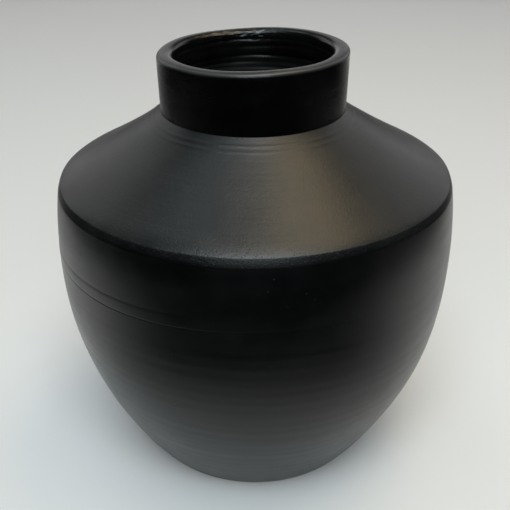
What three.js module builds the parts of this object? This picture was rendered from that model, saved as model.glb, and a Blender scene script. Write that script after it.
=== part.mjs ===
// A black clay pot, built the way a potter builds it: a slab floor, wall sections and coils luted one
// on another, a domed shoulder that turns over at a crisp edge, and a straight collar with a rounded lip.
// Millimetres, +Z up. The origin is the centre of the foot's resting face, and +Z is the turning axis.
import * as THREE from "three";

// Driving dimensions of the outside
const RIM_HEIGHT = 300;
const RIM_RADIUS = 63.1;
const MOUTH_RADIUS = 52.7;
const COLLAR_FOOT_HEIGHT = 262;
const COLLAR_FOOT_RADIUS = 62.4;
const SHOULDER_EDGE_HEIGHT = 218.8;
const SHOULDER_EDGE_RADIUS = 135.1;
const SHOULDER_EDGE_ROUND = 2.6;
const BELLY_HEIGHT = 164.5;
const BELLY_RADIUS = 140.2;
const FOOT_RADIUS = 88;
const FOOT_EDGE_ROUND = 2.5;

// The shoulder is a quadratic curve that this point pulls slightly hollow near the collar
const SHOULDER_PULL = new THREE.Vector2(84.6, 244.7);

// How full the wall is: 2 would be a parabola, and more stays near the belly's radius for longer
const WALL_FULLNESS = 2.22;

// Clay thickness and the joints between sections
const WALL_THICKNESS = 8;
const FLOOR_THICKNESS = 10;
const JOINING_COIL_BOTTOM = 171.3;
const JOINING_COIL_TOP = 179.6;
const JOINING_COIL_PROUD = 0.4;
const SHOULDER_SKIRT_BOTTOM = 213.1;
const LIP_COIL_BOTTOM = 293.6;
const LIP_ROUND = 3.6;
const COLLAR_SEAT_DEPTH = 4; // height of the shoulder's inner edge, under the collar
const SCARF_RISE = 3; // how far a joint slants from its outside edge to its inside edge
const SLIP_GAP = 0.35; // upright gap that holds the slip in each joint

// Smeared clay that fills the corner between wall and floor
const HEEL_TOP = 34;
const HEEL_TOE_RADIUS = 68;
const HEEL_TOE_HEIGHT = 1.5;

// Fineness of the faceted solids
const FACETS_AROUND = 64;
const WALL_STEP = 16;
const SHOULDER_STEPS = 8;
const ROUND_STEPS = 4;

const point = (radius, height) => new THREE.Vector2(radius, height);

// Radius of the outside of the wall: it falls away from the belly by a power of the distance from it.
function wallRadius(height) {
  const isBelow = height < BELLY_HEIGHT;
  const endHeight = isBelow ? 0 : SHOULDER_EDGE_HEIGHT;
  const endRadius = isBelow ? FOOT_RADIUS : SHOULDER_EDGE_RADIUS;
  const away = (height - BELLY_HEIGHT) / (endHeight - BELLY_HEIGHT);
  return BELLY_RADIUS - (BELLY_RADIUS - endRadius) * away ** WALL_FULLNESS;
}

// The point at a depth under the outside of the wall, measured square to it.
function wallPoint(height, depth = 0) {
  const reach = 0.01;
  const slope = (wallRadius(height + reach) - wallRadius(height - reach)) / (2 * reach);
  const length = Math.hypot(1, slope);
  return point(wallRadius(height) - depth / length, height + (depth * slope) / length);
}

// Points of the wall from one height to another, at a depth under its outside.
function wallPoints(fromHeight, toHeight, depth = 0) {
  const steps = Math.max(1, Math.round(Math.abs(toHeight - fromHeight) / WALL_STEP));
  const heights = Array.from({ length: steps + 1 }, (_, i) =>
    THREE.MathUtils.lerp(fromHeight, toHeight, i / steps),
  );
  return heights.map((height) => wallPoint(height, depth));
}

// Points of a quadratic curve, both ends included.
function curvePoints(start, pull, end, steps) {
  return new THREE.QuadraticBezierCurve(start, pull, end).getPoints(steps);
}

// A ring turned about +Z from an outline that goes up its outside and down its inside.
function ringGeometry(outline) {
  const geometry = new THREE.LatheGeometry([...outline, outline[0]], FACETS_AROUND);
  return geometry.rotateX(Math.PI / 2);
}

function clay(color, roughness) {
  return new THREE.MeshStandardMaterial({ color, roughness, metalness: 0 });
}

function clayPiece(name, geometry, material) {
  const mesh = new THREE.Mesh(geometry, material);
  mesh.name = name;
  return mesh;
}

// A slab disc. Its rim carries on the line of the wall, and its under-edge is rubbed round.
function floorDisc() {
  const edgeEnd = wallPoint(FOOT_EDGE_ROUND);
  const outline = [
    point(0, 0),
    ...curvePoints(point(FOOT_RADIUS - FOOT_EDGE_ROUND, 0), point(FOOT_RADIUS, 0), edgeEnd, ROUND_STEPS),
    wallPoint(FLOOR_THICKNESS),
    point(0, FLOOR_THICKNESS),
  ];
  const geometry = new THREE.LatheGeometry(outline, FACETS_AROUND).rotateX(Math.PI / 2);
  return clayPiece("floor_disc", geometry, clay(0x1c1d1f, 0.6));
}

// The tall opening wall. It stands on the floor disc, with its heel smeared onto it inside.
function lowerWall() {
  const seat = FLOOR_THICKNESS + SLIP_GAP;
  const top = JOINING_COIL_BOTTOM - SLIP_GAP;
  const inside = wallPoints(top + SCARF_RISE, HEEL_TOP, WALL_THICKNESS);
  const heelTop = inside[inside.length - 1];
  const heelToe = point(HEEL_TOE_RADIUS, seat + HEEL_TOE_HEIGHT);
  const heelPull = point(heelTop.x - WALL_THICKNESS, seat + HEEL_TOE_HEIGHT);
  const outline = [
    ...wallPoints(seat, top),
    ...inside,
    ...curvePoints(heelTop, heelPull, heelToe, ROUND_STEPS).slice(1),
    point(HEEL_TOE_RADIUS, seat),
  ];
  return clayPiece("lower_wall", ringGeometry(outline), clay(0x17181a, 0.42));
}

// The coil that joins the two halves of the wall. It stands a little proud, as a low ridge.
function joiningCoil() {
  const middle = (JOINING_COIL_BOTTOM + JOINING_COIL_TOP) / 2;
  const top = JOINING_COIL_TOP - SLIP_GAP;
  const outline = [
    wallPoint(JOINING_COIL_BOTTOM),
    wallPoint(middle, -JOINING_COIL_PROUD),
    wallPoint(top),
    wallPoint(top + SCARF_RISE, WALL_THICKNESS),
    wallPoint(JOINING_COIL_BOTTOM + SCARF_RISE, WALL_THICKNESS),
  ];
  return clayPiece("joining_coil", ringGeometry(outline), clay(0x191a1c, 0.44));
}

// The upper wall, which closes in towards the shoulder.
function upperWall() {
  const top = SHOULDER_SKIRT_BOTTOM - SLIP_GAP;
  const outline = [
    ...wallPoints(JOINING_COIL_TOP, top),
    ...wallPoints(top - SCARF_RISE, JOINING_COIL_TOP + SCARF_RISE, WALL_THICKNESS),
  ];
  return clayPiece("upper_wall", ringGeometry(outline), clay(0x141517, 0.42));
}

// The dome. Its skirt turns down over the wall's top edge at the crisp shoulder line, and its
// inner edge is cut flat as a seat for the collar.
function shoulder() {
  const edge = point(SHOULDER_EDGE_RADIUS, SHOULDER_EDGE_HEIGHT);
  const collarFoot = point(COLLAR_FOOT_RADIUS, COLLAR_FOOT_HEIGHT);
  const dome = new THREE.QuadraticBezierCurve(edge, SHOULDER_PULL, collarFoot);
  const edgeShare = SHOULDER_EDGE_ROUND / dome.getLength();
  const edgeStart = wallPoint(SHOULDER_EDGE_HEIGHT - SHOULDER_EDGE_ROUND);
  const outside = Array.from({ length: SHOULDER_STEPS + 1 }, (_, i) =>
    dome.getPointAt(THREE.MathUtils.lerp(edgeShare, 1, i / SHOULDER_STEPS)),
  );
  const underShare = WALL_THICKNESS / dome.getLength();
  const underside = Array.from({ length: SHOULDER_STEPS }, (_, i) => {
    const share = THREE.MathUtils.lerp(1, underShare, i / (SHOULDER_STEPS - 1));
    const along = dome.getTangentAt(share);
    const inward = point(-along.y, along.x).multiplyScalar(WALL_THICKNESS);
    return dome.getPointAt(share).add(inward);
  });
  const outline = [
    wallPoint(SHOULDER_SKIRT_BOTTOM),
    ...curvePoints(edgeStart, edge, outside[0], ROUND_STEPS).slice(0, -1),
    ...outside,
    point(MOUTH_RADIUS, COLLAR_FOOT_HEIGHT),
    point(MOUTH_RADIUS, COLLAR_FOOT_HEIGHT - COLLAR_SEAT_DEPTH),
    ...underside.filter((under) => under.x > MOUTH_RADIUS + 1),
    wallPoint(SHOULDER_SKIRT_BOTTOM - SCARF_RISE, WALL_THICKNESS),
  ];
  return clayPiece("shoulder", ringGeometry(outline), clay(0x232528, 0.46));
}

// The collar: a short straight wall that stands on the shoulder's seat.
function neckCollar() {
  const top = LIP_COIL_BOTTOM - SLIP_GAP;
  const topShare = (top - COLLAR_FOOT_HEIGHT) / (RIM_HEIGHT - COLLAR_FOOT_HEIGHT);
  const outline = [
    point(COLLAR_FOOT_RADIUS, COLLAR_FOOT_HEIGHT + SLIP_GAP),
    point(THREE.MathUtils.lerp(COLLAR_FOOT_RADIUS, RIM_RADIUS, topShare), top),
    point(MOUTH_RADIUS, top + SCARF_RISE / 2),
    point(MOUTH_RADIUS, COLLAR_FOOT_HEIGHT + SLIP_GAP),
  ];
  return clayPiece("neck_collar", ringGeometry(outline), clay(0x121214, 0.42));
}

// The last coil, pinched on and rubbed round with wet leather.
function lipCoil() {
  const outerSide = point(RIM_RADIUS, RIM_HEIGHT - LIP_ROUND);
  const outerTop = point(RIM_RADIUS - LIP_ROUND, RIM_HEIGHT);
  const innerTop = point(MOUTH_RADIUS + LIP_ROUND, RIM_HEIGHT);
  const innerSide = point(MOUTH_RADIUS, RIM_HEIGHT - LIP_ROUND);
  const outline = [
    point(RIM_RADIUS, LIP_COIL_BOTTOM),
    ...curvePoints(outerSide, point(RIM_RADIUS, RIM_HEIGHT), outerTop, ROUND_STEPS),
    ...curvePoints(innerTop, point(MOUTH_RADIUS, RIM_HEIGHT), innerSide, ROUND_STEPS),
    point(MOUTH_RADIUS, LIP_COIL_BOTTOM + SCARF_RISE / 2),
  ];
  return clayPiece("lip_coil", ringGeometry(outline), clay(0x34373a, 0.48));
}

const pot = new THREE.Group();
pot.name = "black_clay_pot";
pot.add(floorDisc(), lowerWall(), joiningCoil(), upperWall(), shoulder(), neckCollar(), lipCoil());

export default pot;
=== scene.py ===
"""A black clay pot, smoke-fired and burnished: the looks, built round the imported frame.

Every piece of the pot is a surface of revolution with a potter's hand in it. A piece is worked out as
whole arrays: an outline of (radius, height) points, carried round the axis on a grid, moved square to
the skin by a relief, and then leaned as the finished pot leans. Metres, +Z up, the front is -Y.
"""
import math

import bpy
import numpy as np
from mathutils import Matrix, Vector


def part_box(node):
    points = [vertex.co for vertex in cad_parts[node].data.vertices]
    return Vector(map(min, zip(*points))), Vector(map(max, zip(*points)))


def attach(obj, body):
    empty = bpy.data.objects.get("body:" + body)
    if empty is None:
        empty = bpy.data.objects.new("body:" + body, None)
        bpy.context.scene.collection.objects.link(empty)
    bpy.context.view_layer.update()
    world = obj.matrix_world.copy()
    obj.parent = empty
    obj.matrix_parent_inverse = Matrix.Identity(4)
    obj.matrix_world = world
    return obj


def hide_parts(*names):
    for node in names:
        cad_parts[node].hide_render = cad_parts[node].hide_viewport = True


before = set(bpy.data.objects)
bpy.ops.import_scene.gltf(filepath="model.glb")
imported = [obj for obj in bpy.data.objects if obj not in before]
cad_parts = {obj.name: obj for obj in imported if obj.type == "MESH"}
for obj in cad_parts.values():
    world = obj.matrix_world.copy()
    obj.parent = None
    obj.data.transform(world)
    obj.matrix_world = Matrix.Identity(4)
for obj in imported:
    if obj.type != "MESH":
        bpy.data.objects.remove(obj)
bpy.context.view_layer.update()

low = {node: np.array(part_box(node)[0]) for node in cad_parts}
high = {node: np.array(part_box(node)[1]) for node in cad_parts}

MM = 0.001

# The pot's outline. What the frame states comes from it, and the rest repeats the design's values.
RIM_HEIGHT = high["lip_coil"][2]
RIM_RADIUS = high["lip_coil"][0]
FLOOR_TOP = high["floor_disc"][2]
COIL_BOTTOM = low["joining_coil"][2]
COIL_TOP = low["upper_wall"][2]
COLLAR_FOOT_HEIGHT = high["shoulder"][2]
BELLY_RADIUS = high["lower_wall"][0]
BELLY_HEIGHT = 164.5 * MM
FOOT_RADIUS = 88 * MM
FOOT_EDGE_ROUND = 2.5 * MM
WALL_FULLNESS = 2.22
WALL_THICKNESS = 8 * MM
SKIRT_BOTTOM = 213.1 * MM
EDGE_HEIGHT = 218.8 * MM
EDGE_RADIUS = 135.1 * MM
CREST = np.array([134.2, 218.25]) * MM      # where the dome breaks over
CREST_PULL = 4 * MM                         # how far up the dome its last bend is pulled
CREST_START = 12 * MM                       # and how far up the dome that bend starts
SKIRT_PULL = np.array([135.1, 216.5]) * MM  # the skirt under the crest bends towards this point
SKIRT_RUBBED = (213.2 * MM, 215.5 * MM)     # heights between which the skirt gets partly rubbed
CREST_RUBBED = (216.5 * MM, 218.5 * MM)     # and between which the rest of the rubbing comes in
SHOULDER_PULL = np.array([84.6, 244.7]) * MM
COLLAR_FOOT_RADIUS = 62.4 * MM
MOUTH_RADIUS = 52.7 * MM
LIP_BOTTOM = 293.6 * MM
LIP_CREST = RIM_HEIGHT + 0.7 * MM
LIP_CROWN = 3.9 * MM
LIP_POWER_OUTSIDE = 0.62                    # powers of the lip's crown: 1 is an ellipse, less is squarer
LIP_POWER_INSIDE = 0.85
LIP_OUTSIDE_ROWS = 26                       # rows of the crown that belong to the outside
SCARF_RISE = 3 * MM
HEEL_TOP = 34 * MM
HEEL_TOE_RADIUS = 68 * MM

# Columns of every grid. They are shared, so that neighbouring pieces meet vertex to vertex.
AROUND = 400
turn = np.linspace(0, 2 * np.pi, AROUND, endpoint=False)  # 0 is the front, a quarter turn is +X

# The potter's hand
COLLAR_SHIFT = -1.3 * MM      # the collar sits a little to the left of the belly's axis
BELLY_SHIFT = 0.8 * MM        # and the wall below the belly bulges a little to the right
SHOULDER_LEAN = 0.006         # rise per metre towards +X at the shoulder's edge
RIM_LEAN = 0.027              # and at the rim
SWELL = 0.0045                # how much wider than drawn the belly came out, as a share
JOIN_WANDER = 2.2 * MM        # how far the join runs up and down round the pot
JOIN_AZIMUTH = -52            # where the join shows most, in degrees
RIM_CORNERS = ((235, 1.4 * MM), (125, 0.8 * MM))  # azimuths where the rim is wider, and by how much
RIM_CORNER_SPREAD = 0.42      # in radians
BURRS_AZIMUTH = 192           # where burrs were left inside the mouth


# ---------------------------------------------------------------- outline

def smooth(value, start, end):
    """0 before start, 1 after end, and a smooth S between them: t * t * (3 - 2 t)."""
    t = np.clip((value - start) / (end - start), 0, 1)
    return t * t * (3 - 2 * t)


def hump(value, centre, width):
    """A bell round centre: e to the minus square of the distance in widths."""
    return np.exp(-(((value - centre) / width) ** 2))


def wall_radius(height):
    """The wall falls away from the belly's radius by the 2.22nd power of the share of the way to its
    end."""
    below = height < BELLY_HEIGHT
    end_height = np.where(below, 0, EDGE_HEIGHT)
    end_radius = np.where(below, FOOT_RADIUS, EDGE_RADIUS)
    away = np.abs((height - BELLY_HEIGHT) / (end_height - BELLY_HEIGHT))
    return BELLY_RADIUS - (BELLY_RADIUS - end_radius) * away ** WALL_FULLNESS


def wall(from_height, to_height, step, depth=0.0):
    """Outline points of the wall between two heights, at a depth square to its outside."""
    count = max(2, round(abs(to_height - from_height) / step) + 1)
    height = np.linspace(from_height, to_height, count)
    reach = 0.01 * MM
    slope = (wall_radius(height + reach) - wall_radius(height - reach)) / (2 * reach)
    length = np.hypot(1, slope)
    return np.stack([wall_radius(height) - depth / length, height + depth * slope / length], 1)


def bend(start, pull, end, count):
    """A quadratic curve: (1 - t)^2 start + 2 t (1 - t) pull + t^2 end."""
    t = np.linspace(0, 1, count)[:, None]
    return (1 - t) ** 2 * start + 2 * t * (1 - t) * pull + t ** 2 * end


def skin_normals(points):
    """Unit vectors square to an outline: its direction turned a quarter turn to its right, out of the
    clay."""
    along = np.gradient(points, axis=0)
    along /= np.linalg.norm(along, axis=1)[:, None]
    return np.stack([along[:, 1], -along[:, 0]], 1)


# ---------------------------------------------------------------- relief

def waves(height, pitches, depth, seed):
    """Turning marks: sines up the wall, one for each pitch, whose phase drifts slowly round the pot."""
    random = np.random.default_rng(seed)
    total = 0
    for pitch in pitches:
        phase, drift, lobes = random.uniform(0, 2 * np.pi, 3)
        sway = 0.9 * np.sin((1 + int(lobes) % 3) * turn + drift)
        total = total + np.sin(2 * np.pi * height / pitch + phase + sway)
    return depth * total / len(pitches)


def lumps(rows, size, seed):
    """Uneven clay: random numbers on the grid, blurred round the pot and along the outline to lumps of a
    size in (rows, columns), and scaled to a spread of 1."""
    random = np.random.default_rng(seed).standard_normal((rows, AROUND))
    row_waves = np.fft.fftfreq(rows)[:, None] * size[0]
    column_waves = np.fft.fftfreq(AROUND)[None, :] * size[1]
    blur = np.exp(-2 * (row_waves ** 2 + column_waves ** 2) * np.pi ** 2 / 4)
    field = np.fft.ifft2(np.fft.fft2(random) * blur).real
    return field / field.std()


def away_from(azimuth):
    """The angle from an azimuth in degrees to each column, the short way round: the angle of e to the i
    times their difference."""
    return np.angle(np.exp(1j * (turn - math.radians(azimuth))))


def join_strength():
    """How strongly the joining coil shows round the pot: a bell round the front left, over a trace that
    goes all the way round."""
    return 0.06 + 0.94 * hump(away_from(JOIN_AZIMUTH), 0, 0.75)


def join_relief(height):
    """A low bulge between the two edges of the joining coil, 1 - t^2 on each side of its crown, with a
    soft dip above and a crisp one below."""
    t = (height - COIL_BOTTOM) / (COIL_TOP - COIL_BOTTOM)
    crown = 0.64
    half = np.where(t < crown, crown, 1 - crown)
    bulge = np.clip(1 - ((t - crown) / half) ** 2, 0, None)
    crisp_dip = hump(height, COIL_BOTTOM - 0.1 * MM, 0.36 * MM)
    soft_dip = hump(height, COIL_TOP + 0.4 * MM, 1.1 * MM)
    return 0.17 * MM * bulge - 0.17 * MM * crisp_dip - 0.04 * MM * soft_dip


def outside_relief(points):
    """How far the outside stands proud: out-of-round, turning marks, the join, and lines by the collar."""
    radius, height = points[:, :1], points[:, 1:]
    body = smooth(height, 0.02, 0.12) * (1 - smooth(height, 0.225, 0.26))
    out_of_round = 0.16 * MM * np.cos(2 * turn + 0.7) + 0.10 * MM * np.cos(3 * turn + 2.1)
    low_wall = smooth(height, 0.012, 0.05) * (1 - smooth(height, 0.155, 0.169))
    broad_marks = waves(height, (7.4 * MM, 9.6 * MM, 15.2 * MM), 0.034 * MM, 5)
    fine_marks = waves(height, (2.9 * MM, 4.3 * MM), 0.005 * MM, 8)
    on_dome = smooth(height, 0.2200, 0.2235)
    dome_marks = waves(radius, (3.4 * MM, 5.3 * MM, 8.9 * MM), 0.014 * MM, 11)
    collar_lines = hump(radius, 67.6 * MM, 0.9 * MM) + 0.8 * hump(radius, 71.2 * MM, 0.9 * MM)
    return (
        body * out_of_round
        + low_wall * broad_marks
        + (1 - on_dome) * fine_marks
        + on_dome * (dome_marks + 0.12 * MM * collar_lines)
        + join_strength() * join_relief(height)
    )


# Seams of the coils inside the collar: depth under the rim, width and strength in mm, and a phase
COIL_SEAMS = (
    (6.2, 1.0, 0.45, 1.3), (10.4, 1.3, 0.30, 4.0), (17.8, 1.2, 0.75, 2.2),
    (21.8, 1.3, 0.60, 5.1), (26.0, 1.6, 1.20, 0.4), (31.0, 1.6, 0.50, 3.0),
)


def inside_relief(points):
    """Finger rings inside: broad waves in the belly, the coils' own seams in the collar, and burrs at the
    back of the mouth."""
    height = points[:, 1:]
    in_collar = smooth(height, 0.252, 0.262)
    rings = waves(height, (13 * MM, 17 * MM), 0.45 * MM, 21)
    coil_seams = 0
    for depth, width, strength, phase in COIL_SEAMS:
        wander = 0.5 * MM * np.sin(turn * 2 + phase) + 0.22 * MM * np.sin(turn * 7 + 2 * phase)
        fade = 0.65 + 0.35 * np.sin(turn * 3 + 3 * phase)
        coil_seams = coil_seams + strength * MM * fade * hump(
            height, RIM_HEIGHT - depth * MM + wander, width * MM
        )
    at_back = hump(away_from(BURRS_AZIMUTH), 0, 0.55)
    burrs = 0.12 * MM * lumps(len(points), (2.0, 3), 33)
    near_rim = smooth(height, 0.2905, 0.2955)
    return (1 - in_collar) * rings - in_collar * coil_seams + near_rim * at_back * burrs


def no_relief(points):
    """A plain turned surface."""
    return np.zeros((len(points), AROUND))


def skin(points, bare_and_painted_light=0.0, relief=outside_relief):
    """The outline carried round the axis, and moved square to itself by the relief. The grid holds radius,
    height and how far the clay is left unburnished, from 0 for burnished to 1 for as the potter's hand left
    it. Inside the collar and on the lip's inner side that value also carries painted highlight and shade."""
    grid = np.repeat(points[:, None, :], AROUND, 1)
    grid = grid + skin_normals(points)[:, None, :] * relief(points)[:, :, None]
    bareness_and_painted_light = np.broadcast_to(np.reshape(bare_and_painted_light, (-1, 1)), grid.shape[:2])
    return np.concatenate([grid, bareness_and_painted_light[:, :, None]], 2)


def lean(grid):
    """Carries (radius, height) to (x, y, z), and leans the pot: the belly swells and shifts, the shoulder
    and the rim rise to the right, the rim has two corners, the collar sits off-centre, and the join runs
    up and down. x is radius times the sine of the turn, y minus radius times its cosine."""
    radius, height = grid[..., 0], grid[..., 1]
    swell = 1 + SWELL * (smooth(height, 0.06, 0.13) - hump(height, 0.040, 0.025))
    near_rim = smooth(height, 0.285, 0.298)
    corners = sum(
        wider * hump(turn, math.radians(azimuth), RIM_CORNER_SPREAD) for azimuth, wider in RIM_CORNERS
    )
    radius = radius + near_rim * corners
    x = radius * swell * np.sin(turn)
    y = -radius * swell * np.cos(turn)
    rise = SHOULDER_LEAN * smooth(height, 0.12, 0.215)
    rise = rise + (RIM_LEAN - SHOULDER_LEAN) * smooth(height, COLLAR_FOOT_HEIGHT, RIM_HEIGHT)
    near_join = hump(height, 0.5 * (COIL_BOTTOM + COIL_TOP), 22 * MM)
    wander = JOIN_WANDER * np.sin(2 * turn + 0.87)
    ripple = 0.25 * MM * np.sin(2 * turn + 2.4) + 0.2 * MM * np.sin(5 * turn + 0.6)
    shift = COLLAR_SHIFT * smooth(height, 0.246, COLLAR_FOOT_HEIGHT)
    shift = shift + BELLY_SHIFT * hump(height, 0.085, 0.035)
    z = height + rise * x + near_join * wander + near_rim * ripple
    return np.stack([x + shift, y, z], -1)


# ---------------------------------------------------------------- meshes

def clay_mesh(name, points, bareness_and_painted_light, poles=False):
    """A closed mesh from a (rows, columns, 3) grid that joins up round the pot. A ring's last row joins its
    first. With poles, a fan closes the first row and the last, each to a point on the axis."""
    rows, columns = points.shape[:2]
    index = np.arange(rows * columns).reshape(rows, columns)
    vertices = points.reshape(-1, 3)
    bareness_and_painted_light = bareness_and_painted_light.reshape(-1)
    upper = index[1:] if poles else np.roll(index, -1, 0)
    lower = index[:-1] if poles else index
    quads = np.stack([lower, np.roll(lower, -1, 1), np.roll(upper, -1, 1), upper], -1).reshape(-1, 4)
    faces = quads.tolist()
    if poles:
        bottom, top = len(vertices), len(vertices) + 1
        vertices = np.concatenate([vertices, points[0].mean(0)[None], points[-1].mean(0)[None]])
        bareness_and_painted_light = np.append(bareness_and_painted_light, bareness_and_painted_light[[0, -1]])
        start, end = index[0], index[-1]
        faces += np.stack([np.full(columns, bottom), np.roll(start, -1), start], 1).tolist()
        faces += np.stack([np.full(columns, top), end, np.roll(end, -1)], 1).tolist()
    mesh = bpy.data.meshes.new(name)
    mesh.from_pydata(vertices.tolist(), [], faces)
    mesh.polygons.foreach_set("use_smooth", np.ones(len(faces), bool))
    mesh.attributes.new("bare_and_painted_light", "FLOAT", "POINT").data.foreach_set("value", bareness_and_painted_light)
    mesh.set_sharp_from_angle(angle=math.radians(38))
    mesh.update()
    piece = bpy.data.objects.new(name, mesh)
    bpy.context.scene.collection.objects.link(piece)
    return piece


def clay_piece(name, node, finish, skins, poles=False):
    """One piece of the pot, from its skins in order, standing for a CAD node."""
    grid = np.concatenate(skins)
    piece = clay_mesh(name, lean(grid), grid[..., 2], poles)
    piece.data.materials.append(finish)
    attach(piece, "root")
    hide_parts(node)


# ---------------------------------------------------------------- shader values

class Value:
    """A shader socket that works like a number: each operation on it adds a Math node."""

    def __init__(self, finish, socket):
        self.finish = finish
        self.socket = socket

    def math(self, operation, *values):
        inputs = dict(enumerate(values))
        return self.finish.add("ShaderNodeMath", {"operation": operation}, inputs)

    def __add__(self, other):
        return self.math("ADD", self, other)

    def __radd__(self, other):
        return self.math("ADD", other, self)

    def __sub__(self, other):
        return self.math("SUBTRACT", self, other)

    def __rsub__(self, other):
        return self.math("SUBTRACT", other, self)

    def __mul__(self, other):
        return self.math("MULTIPLY", self, other)

    def __rmul__(self, other):
        return self.math("MULTIPLY", other, self)

    def __truediv__(self, other):
        return self.math("DIVIDE", self, other)

    def __pow__(self, other):
        return self.math("POWER", self, other)

    def between(self, start, end):
        """0 where the value is at start, 1 at end, smooth between and level beyond."""
        inputs = {"Value": self, "From Min": start, "From Max": end}
        settings = {"interpolation_type": "SMOOTHSTEP"}
        return self.finish.add("ShaderNodeMapRange", settings, inputs)


class Finish:
    """A material and its node tree."""

    def __init__(self, name):
        self.material = bpy.data.materials.new(name)
        self.material.use_nodes = True
        self.tree = self.material.node_tree
        self.shader = self.tree.nodes["Principled BSDF"]

    def add(self, kind, settings=None, inputs=None, output=0):
        """Adds a node: its settings first, then the values or links of its sockets. Returns an output."""
        node = self.tree.nodes.new(kind)
        for name, setting in (settings or {}).items():
            setattr(node, name, setting)
        for name, value in (inputs or {}).items():
            self.feed(node.inputs[name], value)
        return Value(self, node.outputs[output])

    def feed(self, socket, value):
        """Links a Value to a socket, or sets the socket to a plain number, vector or colour."""
        if isinstance(value, Value):
            self.tree.links.new(value.socket, socket)
        else:
            socket.default_value = value

    def vector(self, x, y, z):
        return self.add("ShaderNodeCombineXYZ", None, {"X": x, "Y": y, "Z": z})

    def noise(self, vector, scale, detail, roughness=0.5):
        inputs = {"Vector": vector, "Scale": scale, "Detail": detail, "Roughness": roughness}
        return self.add("ShaderNodeTexNoise", None, inputs)

    def distance(self, vector, point):
        """How far a position is from a point."""
        inputs = {0: vector, 1: point}
        return self.add("ShaderNodeVectorMath", {"operation": "DISTANCE"}, inputs, output="Value")

    def parts(self, vector):
        """The three numbers of a vector."""
        split = self.add("ShaderNodeSeparateXYZ", None, {"Vector": vector})
        return [Value(self, output) for output in split.socket.node.outputs]

    def dots(self, vector, scale, rare, near, far):
        """Scattered dots: 1 up to near from the middle of a Voronoi cell, 0 from far on, and only in the
        cells whose random colour is over rare."""
        cells = self.add("ShaderNodeTexVoronoi", None, {"Vector": vector, "Scale": scale})
        picked = Value(self, cells.socket.node.outputs["Color"]).between(rare, rare + 0.02)
        return (1 - cells.between(near, far)) * picked

    def mix(self, share, first, second):
        """A colour that goes from first to second by a share."""
        settings = {"data_type": "RGBA"}
        return self.add("ShaderNodeMix", settings, {0: share, 6: first, 7: second}, output=2)

    def bump(self, height, distance):
        return self.add("ShaderNodeBump", None, {"Height": height, "Distance": distance})

    def set(self, **sockets):
        """Feeds the main shader's sockets. A name's underscores stand for spaces."""
        for name, value in sockets.items():
            self.feed(self.shader.inputs[name.replace("_", " ")], value)


def colour(red, green, blue):
    return (red, green, blue, 1.0)


# ---------------------------------------------------------------- finishes

def around(azimuth, height):
    """The point of the wall's outside at an azimuth in degrees (0 the front, + to the right) and a
    height."""
    across = math.radians(azimuth)
    radius = float(wall_radius(np.array(height)))
    return (radius * math.sin(across), -radius * math.cos(across), height)


def scattered(count, azimuths, heights, seed):
    """Points of the wall's outside at random azimuths and heights, each even between two limits."""
    random = np.random.default_rng(seed)
    places = zip(random.uniform(*azimuths, count), random.uniform(*heights, count))
    return [around(azimuth, height) for azimuth, height in places]


# Grains of pale grit high on the front, and small pits lower down
GRIT = scattered(9, (-10, 20), (0.175, 0.208), 3)
PITS = scattered(4, (-40, 12), (0.080, 0.123), 6)


def look(dark, pale, rough, peel, grain, streak):
    """How a state of the clay looks: its darkest and palest colour, its roughness, and how deep its
    peel, its grain and its burnish streaks are."""
    return {"dark": dark, "pale": pale, "rough": rough, "peel": peel, "grain": grain, "streak": streak}


BURNISHED = look((0.0007, 0.0008, 0.0010), (0.0022, 0.0023, 0.0024), 0.32, 0.9, 0.2, 0.5)
POLISHED = look((0.0003, 0.0003, 0.0004), (0.0009, 0.0009, 0.0010), 0.26, 0.9, 0.2, 0.3)
RUBBED = look((0.0036, 0.0040, 0.0044), (0.0085, 0.0090, 0.0090), 0.37, 2.7, 3.5, 0.5)
SATIN = look((0.0160, 0.0170, 0.0172), (0.0340, 0.0350, 0.0350), 0.36, 4.0, 1.0, 0.3)
RAW = look((0.0090, 0.0095, 0.0100), (0.0300, 0.0300, 0.0295), 0.50, 6.0, 1.8, 1.0)


GRIT_COLOUR = colour(0.08, 0.08, 0.08)
GRAIN_COLOUR = colour(0.05, 0.058, 0.064)
BUMP_DEPTH = 0.02 * MM


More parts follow.
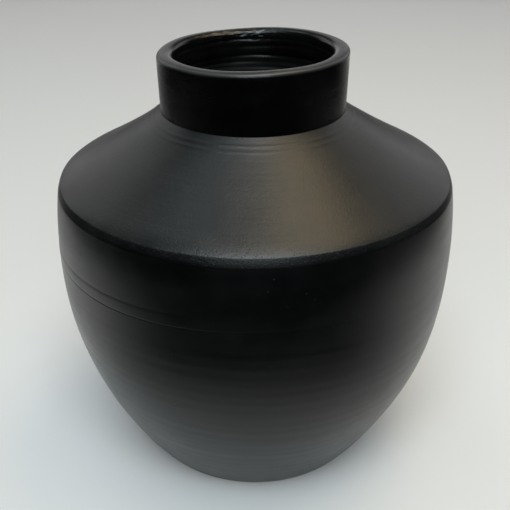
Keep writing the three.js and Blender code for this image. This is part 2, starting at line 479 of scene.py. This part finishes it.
def black_clay(name, finished, bared, spots=False, grainy_edge=False):
    """Smoke-fired black clay. Burnish streaks run round the axis, cloudy patches come from the smoke, a
    soft peel comes from the grain, and pits and pale specks are scattered over it. The look goes from
    finished to bared by how far the clay is left unburnished; inside the collar and on the lip's inner
    side that value also carries a painted highlight and painted shade. A grainy edge has pores over the
    crest and grains under it."""
    finish = Finish(name)
    place = finish.add("ShaderNodeTexCoord", output="Object")
    x, y, z = finish.parts(place)
    bare_and_painted_light = finish.add("ShaderNodeAttribute", {"attribute_name": "bare_and_painted_light"}, output="Fac")
    radius = (x * x + y * y + 1e-8) ** 0.5
    across = z + radius * 0.9
    cosine, sine = x / radius, y / radius
    streak = finish.noise(finish.vector(cosine * 2.6, sine * 2.6, across * 230), 1.0, 1.0)
    broad = finish.noise(finish.vector(cosine * 1.3, sine * 1.3, across * 75), 1.0, 2.0)
    cloud = finish.noise(place, 22.0, 3.0, 0.55)
    patch = finish.noise(place, 75.0, 2.0)
    peel = finish.noise(place, 330.0, 1.0)
    grain = finish.noise(place, 900.0, 1.0)
    speck = finish.dots(place, 90.0, 0.93, 0.03, 0.07)
    pit = finish.dots(place, 120.0, 0.90, 0.05, 0.11)
    if spots:
        for grain_place in GRIT:
            speck = speck + (1 - finish.distance(place, grain_place).between(0.2 * MM, 1.0 * MM))
        for pit_place in PITS:
            pit = pit + (1 - finish.distance(place, pit_place).between(0.5 * MM, 1.3 * MM))

    def by_bareness(quality):
        return finished[quality] + bare_and_painted_light * (bared[quality] - finished[quality])

    cloudy = cloud * 0.6 + patch * 0.4
    share = cloudy.between(0.36, 0.66) * 0.6 + broad.between(0.35, 0.7) * 0.4
    closed = finish.mix(share, colour(*finished["dark"]), colour(*finished["pale"]))
    opened = finish.mix(share, colour(*bared["dark"]), colour(*bared["pale"]))
    clay = finish.mix(bare_and_painted_light, closed, opened)
    dusted = finish.mix(speck * 0.7, clay, GRIT_COLOUR)
    roughness = (
        by_bareness("rough")
        + (cloudy - 0.5) * 0.20
        + (broad - 0.5) * 0.10
        + (streak - 0.5) * 0.06
    )
    height = (
        (streak + broad * 2.5) * by_bareness("streak")
        + peel * (cloud * 1.6 + 0.2) * by_bareness("peel")
        + grain * by_bareness("grain")
        - pit * 3.0
        + speck * 2.0
    )
    if grainy_edge:
        crest = CREST[1]
        below = z.between(SKIRT_BOTTOM, SKIRT_BOTTOM + 3 * MM) * (1 - z.between(crest, crest + 1 * MM))
        above = (1 - z.between(crest + 3 * MM, crest + 11 * MM)) * cloud.between(0.40, 0.60)
        pores = 1 - grain.between(0.30, 0.38)
        grains = grain.between(0.56, 0.68)
        height = height + grains * below * 2.2 - pores * above * 4
        dusted = finish.mix(grains * below * 0.10, dusted, GRAIN_COLOUR)
    finish.set(Base_Color=dusted, Roughness=roughness, Normal=finish.bump(height, BUMP_DEPTH))
    return finish.material


burnished = black_clay("burnished_black_clay", BURNISHED, RAW, True)
collar_clay = black_clay("collar_black_clay", POLISHED, RAW)
dome_clay = black_clay("rubbed_black_clay", BURNISHED, RUBBED, grainy_edge=True)
lip_clay = black_clay("lip_black_clay", POLISHED, SATIN)
foot_clay = black_clay("foot_black_clay", BURNISHED, RAW)


# ---------------------------------------------------------------- the pot

def ring_point(radius, height, bare_and_painted_light=1.0):
    """A single turned ring with no relief."""
    return skin(np.array([[radius, height], [radius, height + MM]]), bare_and_painted_light, no_relief)[:1]


def floor_slab():
    """The slab floor: a lightly dished, scraped underside, a rubbed edge, and the flat floor inside."""
    under_radius = np.linspace(1 * MM, FOOT_RADIUS - FOOT_EDGE_ROUND, 44)
    dish = 0.7 * MM * (1 - smooth(under_radius, 40 * MM, 66 * MM))
    scrape = 0.05 * MM * np.sin(under_radius / (1.1 * MM)) * (1 - smooth(under_radius, 60 * MM, 68 * MM))
    under = np.stack([under_radius, np.maximum(dish + scrape, 0)], 1)
    edge_end = wall(FOOT_EDGE_ROUND, FLOOR_TOP, 8 * MM)[0]
    edge = bend(under[-1], np.array([FOOT_RADIUS, 0]), edge_end, 9)[1:]
    side = wall(FOOT_EDGE_ROUND, FLOOR_TOP, 0.8 * MM)[1:]
    top_radius = np.linspace(side[-1, 0], 1 * MM, 40)[1:]
    ring = 0.25 * MM * np.sin(top_radius / (3.1 * MM)) * (1 - smooth(top_radius, 55 * MM, 70 * MM))
    top = np.stack([top_radius, FLOOR_TOP + ring - 0.25 * MM * (top_radius < 70 * MM)], 1)
    rubbed = np.concatenate([np.linspace(0.8, 0.1, len(edge)), np.zeros(len(side))])
    skins = [
        skin(under, 1.0, no_relief),
        skin(np.concatenate([edge, side]), rubbed),
        skin(top, 1.0, no_relief),
    ]
    clay_piece("floor_slab", "floor_disc", foot_clay, skins, poles=True)


def opening_wall():
    """The wall from the floor to the joining coil, with its heel smeared onto the floor inside."""
    fine_start = COIL_BOTTOM - 4 * MM
    outside = np.concatenate([
        wall(FLOOR_TOP, fine_start, 1.25 * MM)[:-1],
        wall(fine_start, COIL_BOTTOM, 0.2 * MM),
    ])
    inside = wall(COIL_BOTTOM + SCARF_RISE, HEEL_TOP, 3.2 * MM, WALL_THICKNESS)
    toe = np.array([HEEL_TOE_RADIUS, FLOOR_TOP + 0.4 * MM])
    pull = np.array([inside[-1, 0] - WALL_THICKNESS, FLOOR_TOP + 1.5 * MM])
    heel = bend(inside[-1], pull, toe, 14)[1:]
    skins = [
        skin(outside),
        skin(np.concatenate([inside, heel]), 1.0, inside_relief),
        ring_point(HEEL_TOE_RADIUS, FLOOR_TOP),
    ]
    clay_piece("opening_wall", "lower_wall", burnished, skins)


def join_band():
    """The coil pressed over the join of the two wall halves."""
    outside = wall(COIL_BOTTOM, COIL_TOP, 0.2 * MM)
    inside = wall(COIL_TOP + SCARF_RISE, COIL_BOTTOM + SCARF_RISE, 1.5 * MM, WALL_THICKNESS)
    skins = [skin(outside), skin(inside, 1.0, inside_relief)]
    clay_piece("join_band", "joining_coil", burnished, skins)


def closing_wall():
    """The wall from the joining coil up to the shoulder's skirt."""
    outside = np.concatenate([
        wall(COIL_TOP, COIL_TOP + 3 * MM, 0.3 * MM)[:-1],
        wall(COIL_TOP + 3 * MM, SKIRT_BOTTOM, 0.9 * MM),
    ])
    inside = wall(SKIRT_BOTTOM - SCARF_RISE, COIL_TOP + SCARF_RISE, 2 * MM, WALL_THICKNESS)
    skins = [skin(outside), skin(inside, 1.0, inside_relief)]
    clay_piece("closing_wall", "upper_wall", burnished, skins)


def dome():
    """The shoulder: a skirt that turns over at a crisp edge, a slightly hollow dome, and its underside."""
    edge = np.array([EDGE_RADIUS, EDGE_HEIGHT])
    collar_foot = np.array([COLLAR_FOOT_RADIUS, COLLAR_FOOT_HEIGHT])
    curve = bend(edge, SHOULDER_PULL, collar_foot, 400)
    travelled = np.concatenate([[0], np.cumsum(np.linalg.norm(np.diff(curve, axis=0), axis=1))])

    def along(start, end, count):
        reach = np.linspace(start, end, count)
        return np.stack([np.interp(reach, travelled, curve[:, i]) for i in range(2)], 1)

    skirt = bend(wall(SKIRT_BOTTOM, EDGE_HEIGHT, WALL_THICKNESS)[0], SKIRT_PULL, CREST, 14)
    top = along(CREST_START, travelled[-1], 176)
    turn_over = bend(CREST, along(CREST_PULL, CREST_PULL, 1)[0], top[0], 24)[1:-1]
    under_edge = along(travelled[-1], WALL_THICKNESS, 26)
    underside = under_edge + skin_normals(under_edge) * WALL_THICKNESS
    underside = underside[underside[:, 0] > MOUTH_RADIUS + 1 * MM]
    skirt_inside = wall(SKIRT_BOTTOM - SCARF_RISE, SKIRT_BOTTOM, 3 * MM, WALL_THICKNESS)[:1]
    outside = np.concatenate([skirt, turn_over, top])
    height = outside[:, 1]
    rubbed = 0.4 * smooth(height, *SKIRT_RUBBED) + 0.6 * smooth(height, *CREST_RUBBED)
    skins = [
        skin(outside, rubbed),
        ring_point(MOUTH_RADIUS, COLLAR_FOOT_HEIGHT),
        ring_point(MOUTH_RADIUS, COLLAR_FOOT_HEIGHT - 4 * MM),
        skin(np.concatenate([underside, skirt_inside]), 1.0, no_relief),
    ]
    clay_piece("dome", "shoulder", dome_clay, skins)


def collar_line(height):
    """Radius of the collar's outside: a straight line from its foot to the rim."""
    share = (height - COLLAR_FOOT_HEIGHT) / (RIM_HEIGHT - COLLAR_FOOT_HEIGHT)
    return COLLAR_FOOT_RADIUS + (RIM_RADIUS - COLLAR_FOOT_RADIUS) * share


def collar():
    """The straight collar, smooth outside, with the seams of its coils left inside."""
    outer_height = np.linspace(COLLAR_FOOT_HEIGHT, LIP_BOTTOM, 40)
    inner_height = np.linspace(LIP_BOTTOM + SCARF_RISE / 2, COLLAR_FOOT_HEIGHT, 80)
    outside = np.stack([collar_line(outer_height), outer_height], 1)
    inside = np.stack([np.full(len(inner_height), MOUTH_RADIUS), inner_height], 1)
    # Inside, the clay is kept nearly burnished; the paler band 25 mm under the rim is a painted highlight
    # on the coil seams there
    inside_with_painted_highlight = 0.06 + 0.30 * hump(inner_height, RIM_HEIGHT - 25 * MM, 4 * MM)
    skins = [skin(outside), skin(inside, inside_with_painted_highlight, inside_relief)]
    clay_piece("collar", "neck_collar", collar_clay, skins)


def lip():
    """The last coil: an outer side that carries on the collar, and a crown that is half an ellipse whose
    sine and cosine are raised to a power. The power squares it, more outside than inside."""
    crown_foot = LIP_CREST - LIP_CROWN
    side_height = np.linspace(LIP_BOTTOM, crown_foot, 8)
    side = np.stack([collar_line(side_height), side_height], 1)
    middle = 0.5 * (side[-1, 0] + MOUTH_RADIUS)
    half = side[-1, 0] - middle
    over = np.linspace(0, np.pi, 44)[1:]
    power = np.where(over < np.pi / 2, LIP_POWER_OUTSIDE, LIP_POWER_INSIDE)
    crown = np.stack([
        middle + half * np.sign(np.cos(over)) * np.abs(np.cos(over)) ** power,
        crown_foot + LIP_CROWN * np.clip(np.sin(over), 0, 1) ** power,
    ], 1)
    inner_height = np.linspace(crown_foot, LIP_BOTTOM + SCARF_RISE / 2, 8)[1:]
    inside = np.stack([np.full(len(inner_height), MOUTH_RADIUS), inner_height], 1)
    # The top of the crown is rubbed paler; from its inner side down into the mouth the clay is painted dark
    # as shade
    shaded_inner_side = smooth(over, math.radians(92), math.radians(130))
    rubbed = smooth(over, math.radians(5), math.radians(40)) * (1 - 0.93 * shaded_inner_side)
    outer, inner = crown[:LIP_OUTSIDE_ROWS], crown[LIP_OUTSIDE_ROWS:]
    bare_outside = np.concatenate([np.zeros(len(side)), rubbed[:LIP_OUTSIDE_ROWS]])
    inside_with_painted_shade = np.concatenate([rubbed[LIP_OUTSIDE_ROWS:], np.full(len(inside), rubbed[-1])])
    skins = [
        skin(np.concatenate([side, outer]), bare_outside),
        skin(np.concatenate([inner, inside]), inside_with_painted_shade, inside_relief),
    ]
    clay_piece("lip", "lip_coil", lip_clay, skins)


floor_slab()
opening_wall()
join_band()
closing_wall()
dome()
collar()
lip()


# ---------------------------------------------------------------- stage, light and camera

def matt(name, shade):
    """A plain matt grey."""
    finish = Finish(name)
    finish.set(Base_Color=colour(shade, shade, shade), Roughness=0.9, Specular_IOR_Level=0.0)
    return finish


def sheet(low_corner, high_corner, height, finish):
    """A flat rectangle of the stage, named after its finish."""
    (x0, y0), (x1, y1) = low_corner, high_corner
    corners = [(x0, y0, height), (x1, y0, height), (x1, y1, height), (x0, y1, height)]
    name = finish.material.name
    mesh = bpy.data.meshes.new(name)
    mesh.from_pydata(corners, [], [(0, 1, 2, 3)])
    mesh.materials.append(finish.material)
    made = bpy.data.objects.new(name, mesh)
    bpy.context.scene.collection.objects.link(made)
    return made


CARD_FADE_IN = (0.105, 0.34)     # distances from the pot's axis between which the card gets dark
CARD_SIDES = (92, 24)            # degrees off the front where it starts, and where it is fully there
CARD_ALL_ROUND = (0.53, 0.76)    # distances between which it comes to reach all the way round


def fading(finish):
    """Makes a card fade in with the distance from the pot, and fade out to the sides."""
    x, y, _ = finish.parts(finish.add("ShaderNodeTexCoord", output="Object"))
    radius = (x * x + y * y) ** 0.5
    ahead = (0 - y) / radius + 1.3 * radius.between(*CARD_ALL_ROUND)
    sides = ahead.between(*(math.cos(math.radians(angle)) for angle in CARD_SIDES))
    share = radius.between(*CARD_FADE_IN) * sides
    clear = finish.add("ShaderNodeBsdfTransparent")
    dark = Value(finish, finish.shader.outputs["BSDF"])
    both = finish.add("ShaderNodeMixShader", None, {0: share, 1: clear, 2: dark})
    finish.feed(finish.tree.nodes["Material Output"].inputs["Surface"], both)
    return finish


# Tints of the lights, each with its strongest colour at 1
COOL = (0.8, 0.95, 1.0)
NEUTRAL = (1.0, 1.0, 1.0)
WARM = (1.0, 0.8, 0.5)


def softbox(name, centre, aim, width, depth, tint, radiance):
    """A rectangular light of one tint and an even radiance. Its power is radiance x area x pi."""
    data = bpy.data.lights.new(name, "AREA")
    data.shape = "RECTANGLE"
    data.size = width
    data.size_y = depth
    data.energy = radiance * width * depth * math.pi
    data.color = tint
    box = bpy.data.objects.new(name, data)
    box.location = centre
    box.rotation_euler = (Vector(aim) - Vector(centre)).to_track_quat("-Z", "Y").to_euler()
    box.visible_camera = False
    bpy.context.scene.collection.objects.link(box)
    return box


sheet((-2.2, -2.2), (2.2, 2.4), 0, matt("pale_floor", 0.68))
# Only the gloss of the clay sees this card: it is the dark ground round the pot
dark_card = sheet((-3, -3), (3, 1), 0.5 * MM, fading(matt("dark_card", 0.004)))
dark_card.visible_camera = False
dark_card.visible_diffuse = False
dark_card.visible_shadow = False

POT_MIDDLE = np.array([0, 0, 0.2])
LIGHT_DISTANCE = 2.2


def panel(name, azimuth, elevation, width, depth, tint, radiance):
    """A softbox that looks at the pot from an azimuth (0 the front, 90 the +X side) and an elevation."""
    across, up = math.radians(azimuth), math.radians(elevation)
    toward = np.array([
        math.sin(across) * math.cos(up), -math.cos(across) * math.cos(up), math.sin(up),
    ])
    softbox(name, POT_MIDDLE + LIGHT_DISTANCE * toward, POT_MIDDLE, width, depth, tint, radiance)


panel("front_window", 0, 28, 1.4, 0.7, COOL, 3)
panel("front_skylight", 0, 60, 1.3, 0.6, COOL, 9)
panel("front_ceiling", 9, 73, 0.85, 0.45, NEUTRAL, 4.5)
panel("middle_ceiling", 0, 90, 0.9, 0.9, NEUTRAL, 0.7)
panel("left_front_ceiling", -45, 66, 0.85, 0.75, COOL, 1)
panel("left_back_ceiling", -135, 66, 0.85, 0.75, COOL, 1.4)
panel("right_back_ceiling", 135, 66, 0.85, 0.75, WARM, 3)
for side in (-1, 1):
    panel("back_wall", side * 135, 34, 1.3, 0.9, NEUTRAL, 0.75)
for azimuth in (135, 180, 225):
    panel("back_horizon", azimuth, 11, 1.5, 0.75, NEUTRAL, 0.75)
softbox("warm_lamp", (0.42, -0.14, 1.5), (0, 0, 0.16), 0.6, 0.75, WARM, 2.5)
# The fills light the pot and the floor, and don't show in the gloss
front_fill = softbox("front_fill", (0, -1.7, 1.4), (0, 0, 0.1), 3.0, 1.2, NEUTRAL, 1.6)
front_fill.visible_glossy = False
top_fill = softbox("top_fill", (0, 0.6, 2.2), (0, 0.2, 0), 3.0, 3.0, NEUTRAL, 0.35)
top_fill.visible_glossy = False

world = bpy.data.worlds.new("studio")
bpy.context.scene.world = world
world.use_nodes = True
backdrop = world.node_tree.nodes["Background"]
backdrop.inputs["Color"].default_value = colour(0.9, 0.9, 0.9)
backdrop.inputs["Strength"].default_value = 0.7
world.cycles_visibility.diffuse = False
world.cycles_visibility.glossy = False

CAMERA_BACK = 494.4 * MM
CAMERA_UP = 421.1 * MM
CAMERA_DOWN = math.radians(29.13)
CAMERA_LENS = 52.94  # in mm, over a sensor 36 mm wide
camera_data = bpy.data.cameras.new("camera")
camera_data.sensor_width = 36
camera_data.lens = CAMERA_LENS
camera = bpy.data.objects.new("camera", camera_data)
camera.location = (0, -CAMERA_BACK, CAMERA_UP)
camera.rotation_euler = (math.radians(90) - CAMERA_DOWN, 0, 0)
bpy.context.scene.collection.objects.link(camera)
bpy.context.scene.camera = camera
bpy.context.scene.view_settings.view_transform = "Standard"
